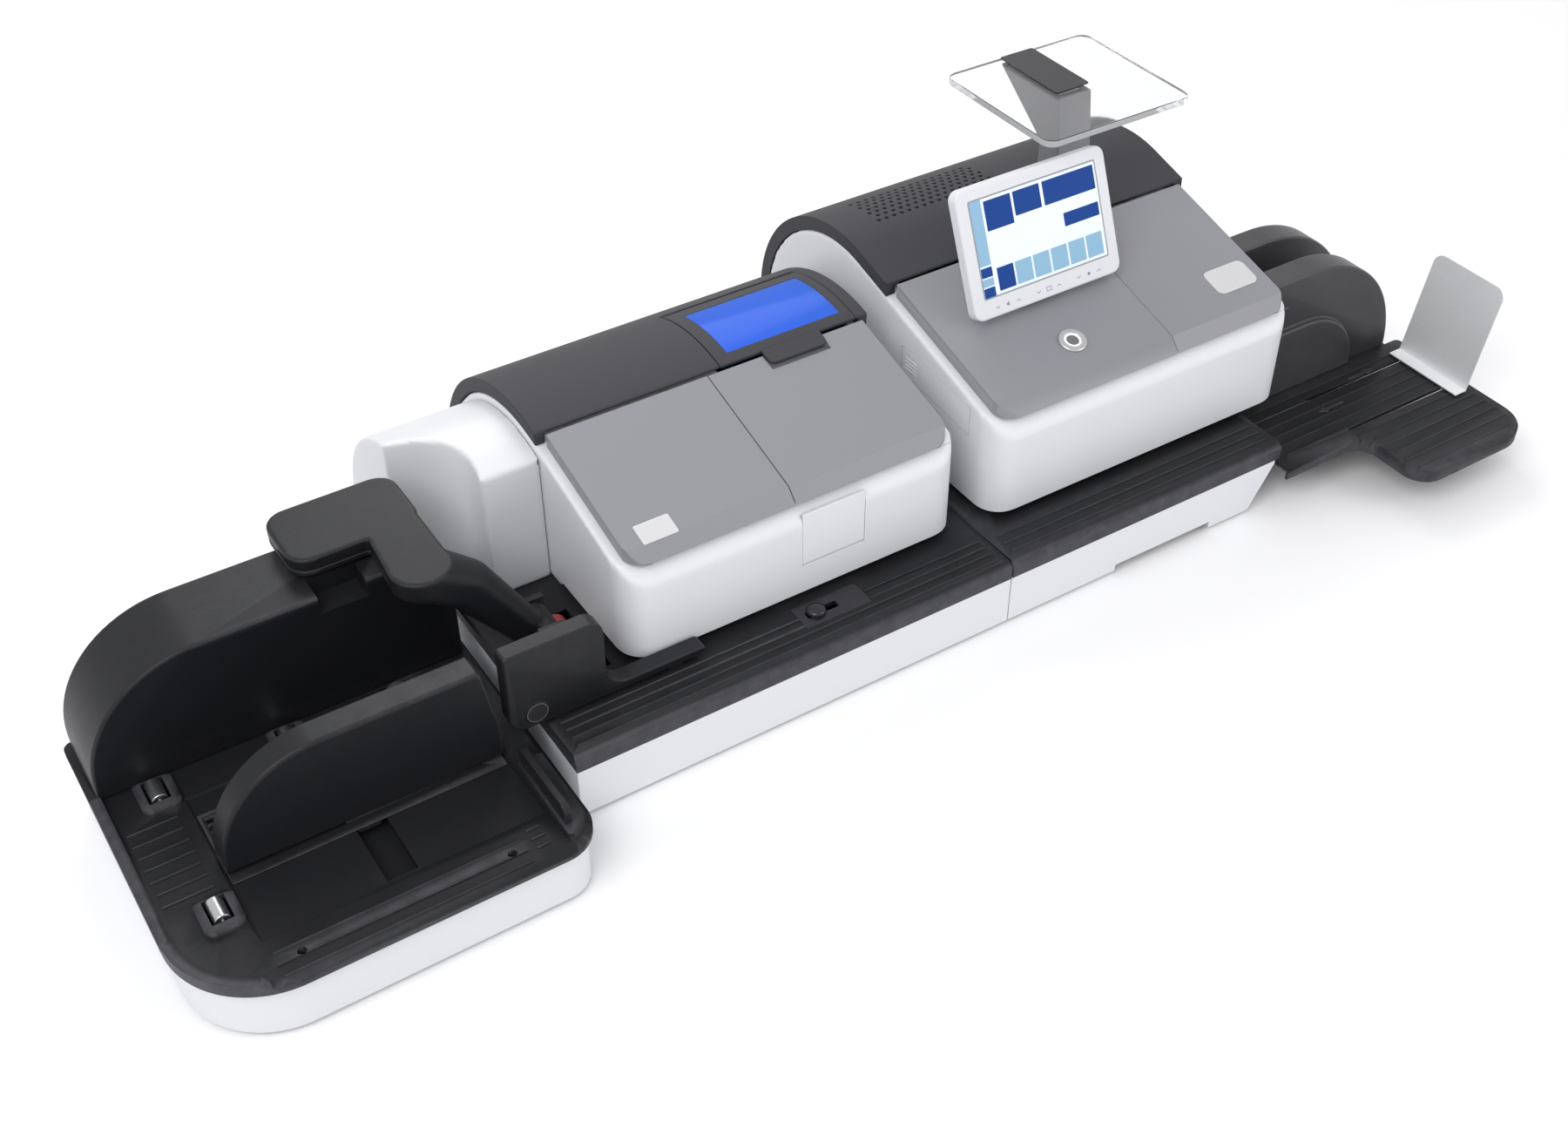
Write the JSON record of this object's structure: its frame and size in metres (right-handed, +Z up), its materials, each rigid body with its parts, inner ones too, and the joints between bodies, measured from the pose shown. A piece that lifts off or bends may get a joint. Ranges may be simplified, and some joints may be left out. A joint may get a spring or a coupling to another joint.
{
  "type": "franking machine",
  "caption": "Mailroom franking machine with envelope feeder, moistening sealer, print unit with tilting display, weighing platter and catch tray.",
  "frame": {"origin": "middle of the footprint, on the surface that the feet rest on", "axes": "+X along the mail travel, from feeder to catch tray; +Y to the rear, away from the operator; +Z up"},
  "size_m": [1.404, 0.554, 0.376],
  "materials": {
    "white_shell": "satin moulded",
    "graphite": "fine textured",
    "arch_black": "fine textured",
    "lid_grey": "satin",
    "gloss_black": "glossy",
    "steel": "brushed",
    "stop_steel": "brushed sheet",
    "rubber_red": "ground",
    "rubber_dark": "ground",
    "motor_metal": "satin",
    "smoky_window": "tinted clear",
    "tank_blue": "translucent moulded",
    "screen": "lit display",
    "acrylic": "polished clear",
    "column_grey": "satin",
    "brush_fibre": "fibre",
    "board_green": "laminate",
    "ink_blue": "moulded",
    "aluminium": "machined",
    "foot_rubber": "moulded"
  },
  "bodies": {
    "root": {"feeder_casing": "white_shell", "feeder_tray": "graphite", "feeder_wall": "graphite", "steel_pins": "steel", "arm_bracket": "graphite", "feed_gate": "graphite", "entry_fin": "graphite", "drive_motors": "motor_metal", "sealer_casing": "white_shell", "sealer_deck": "graphite", "sealer_shell": "white_shell", "corner_cover": "white_shell", "sealer_rear_cover": "arch_black", "sealer_right_panel": "lid_grey", "water_tank": "tank_blue", "lever_panel": "gloss_black", "wetting_brush": "brush_fibre", "main_casing": "white_shell", "main_deck": "graphite", "main_shell": "white_shell", "main_rear_cover": "arch_black", "main_left_panel": "lid_grey", "button_ring": "steel", "display_stem": "graphite", "scale_column": "column_grey", "load_cell": "aluminium", "transport_belt": "rubber_dark", "electronics": "board_green", "feet": "foot_rubber", "exit_hood": "graphite", "catch_tray": "graphite"},
    "side_guide": {"side_guide": "graphite", "guide_carriage": "graphite"},
    "tray_roller_rear": {"tray_roller_rear": "rubber_dark"},
    "tray_roller_front": {"tray_roller_front": "rubber_dark"},
    "tray_roller_wall": {"tray_roller_wall": "rubber_dark"},
    "pressure_arm": {"pressure_arm": "graphite", "arm_lower_shell": "graphite"},
    "feed_roller": {"feed_roller": "rubber_red"},
    "separation_roller": {"separation_roller": "rubber_dark"},
    "nudger_roller": {"nudger_roller": "rubber_dark"},
    "sealer_left_lid": {"sealer_left_lid": "lid_grey"},
    "tank_lid": {"tank_lid": "arch_black", "tank_window": "smoky_window"},
    "tank_latch": {"tank_latch": "gloss_black"},
    "front_flap": {"front_flap": "white_shell"},
    "seal_lever": {"seal_lever": "gloss_black"},
    "seal_roller_lower": {"seal_roller_lower": "rubber_dark"},
    "seal_roller_upper": {"seal_roller_upper": "rubber_dark"},
    "main_right_lid": {"main_right_lid": "lid_grey"},
    "side_flap": {"side_flap": "white_shell"},
    "power_button": {"power_button": "steel"},
    "display": {"display_frame": "white_shell", "display_glass": "screen"},
    "scale_platter": {"scale_platter": "acrylic"},
    "print_carriage": {"print_carriage": "graphite", "ink_cartridge": "ink_blue"},
    "transport_roller": {"transport_roller": "rubber_dark"},
    "transport_idler": {"transport_idler": "rubber_dark"},
    "stop_plate": {"stop_plate": "stop_steel"}
  },
  "joints": [
    {"name": "guide_slide", "type": "slide", "parent": "root", "child": "side_guide", "axis": [0, 1, 0], "range_m": [-0.06, 0.014]},
    {"name": "tray_roller_rear_spin", "type": "hinge", "parent": "root", "child": "tray_roller_rear", "pos_m": [-0.653, -0.023, 0.064], "axis": [0, 1, 0], "continuous": true},
    {"name": "tray_roller_front_spin", "type": "hinge", "parent": "root", "child": "tray_roller_front", "pos_m": [-0.653, -0.167, 0.064], "axis": [0, 1, 0], "continuous": true},
    {"name": "tray_roller_wall_spin", "type": "hinge", "parent": "root", "child": "tray_roller_wall", "pos_m": [-0.54, -0.024, 0.064], "axis": [0, 1, 0], "continuous": true},
    {"name": "arm_lift", "type": "hinge", "parent": "root", "child": "pressure_arm", "pos_m": [-0.317, -0.054, 0.108], "axis": [0, 1, 0], "range_deg": [0, 20]},
    {"name": "feed_spin", "type": "hinge", "parent": "root", "child": "feed_roller", "pos_m": [-0.292, -0.057, 0.063], "axis": [0, 1, 0], "continuous": true},
    {"name": "separation_spin", "type": "hinge", "parent": "root", "child": "separation_roller", "pos_m": [-0.292, -0.087, 0.0864], "axis": [0, 1, 0], "continuous": true},
    {"name": "nudger_spin", "type": "hinge", "parent": "root", "child": "nudger_roller", "pos_m": [-0.44, -0.024, 0.057], "axis": [0, 1, 0], "continuous": true},
    {"name": "left_lid_hinge", "type": "hinge", "parent": "root", "child": "sealer_left_lid", "pos_m": [-0.182, 0.033, 0.22483], "axis": [-1, 0, 0], "range_deg": [0, 70]},
    {"name": "tank_lid_hinge", "type": "hinge", "parent": "root", "child": "tank_lid", "pos_m": [-0.007, 0.142, 0.22026], "axis": [-1, 0, 0], "range_deg": [0, 75]},
    {"name": "latch_slide", "type": "slide", "parent": "tank_lid", "child": "tank_latch", "axis": [0, -0.9659, -0.2588], "range_m": [0, 0.003], "stiffness_N_per_m": 300},
    {"name": "front_flap_hinge", "type": "hinge", "parent": "root", "child": "front_flap", "pos_m": [-0.059, -0.1146, 0.1148], "axis": [1, 0, 0], "range_deg": [0, 80]},
    {"name": "seal_lever_slide", "type": "slide", "parent": "root", "child": "seal_lever", "axis": [1, 0, 0], "range_m": [0, 0.012]},
    {"name": "seal_lower_spin", "type": "hinge", "parent": "root", "child": "seal_roller_lower", "pos_m": [-0.022, -0.057, 0.063], "axis": [0, 1, 0], "continuous": true},
    {"name": "seal_upper_spin", "type": "hinge", "parent": "root", "child": "seal_roller_upper", "pos_m": [-0.022, -0.057, 0.0884], "axis": [0, 1, 0], "continuous": true},
    {"name": "right_lid_hinge", "type": "hinge", "parent": "root", "child": "main_right_lid", "pos_m": [0.398, 0.049, 0.23707], "axis": [-1, 0, 0], "range_deg": [0, 60]},
    {"name": "side_flap_hinge", "type": "hinge", "parent": "root", "child": "side_flap", "pos_m": [0.112, -0.083, 0.1524], "axis": [0, -0.9972, -0.0746], "range_deg": [0, 40]},
    {"name": "power_press", "type": "slide", "parent": "root", "child": "power_button", "axis": [0, 0.2588, -0.9659], "range_m": [0, 0.002], "stiffness_N_per_m": 600},
    {"name": "display_tilt", "type": "hinge", "parent": "root", "child": "display", "pos_m": [0.2405, 0.005, 0.2575], "axis": [1, 0, 0], "range_deg": [-12, 3]},
    {"name": "platter_press", "type": "slide", "parent": "root", "child": "scale_platter", "axis": [0, 0, -1], "range_m": [0, 0.001], "stiffness_N_per_m": 60000},
    {"name": "carriage_slide", "type": "slide", "parent": "root", "child": "print_carriage", "axis": [0, 1, 0], "range_m": [0, 0.04]},
    {"name": "transport_spin", "type": "hinge", "parent": "root", "child": "transport_roller", "pos_m": [0.402, -0.088, 0.062], "axis": [0, 1, 0], "continuous": true},
    {"name": "idler_spin", "type": "hinge", "parent": "root", "child": "transport_idler", "pos_m": [0.152, -0.088, 0.062], "axis": [0, 1, 0], "continuous": true},
    {"name": "stop_slide", "type": "slide", "parent": "root", "child": "stop_plate", "axis": [-1, 0, 0], "range_m": [0, 0.12]}
  ],
  "couplings": [
    {"joint": "separation_spin", "follows": "feed_spin", "ratio": -1.3},
    {"joint": "nudger_spin", "follows": "feed_spin", "ratio": 1.1818},
    {"joint": "seal_upper_spin", "follows": "seal_lower_spin", "ratio": -1.0833},
    {"joint": "idler_spin", "follows": "transport_spin", "ratio": 1}
  ]
}
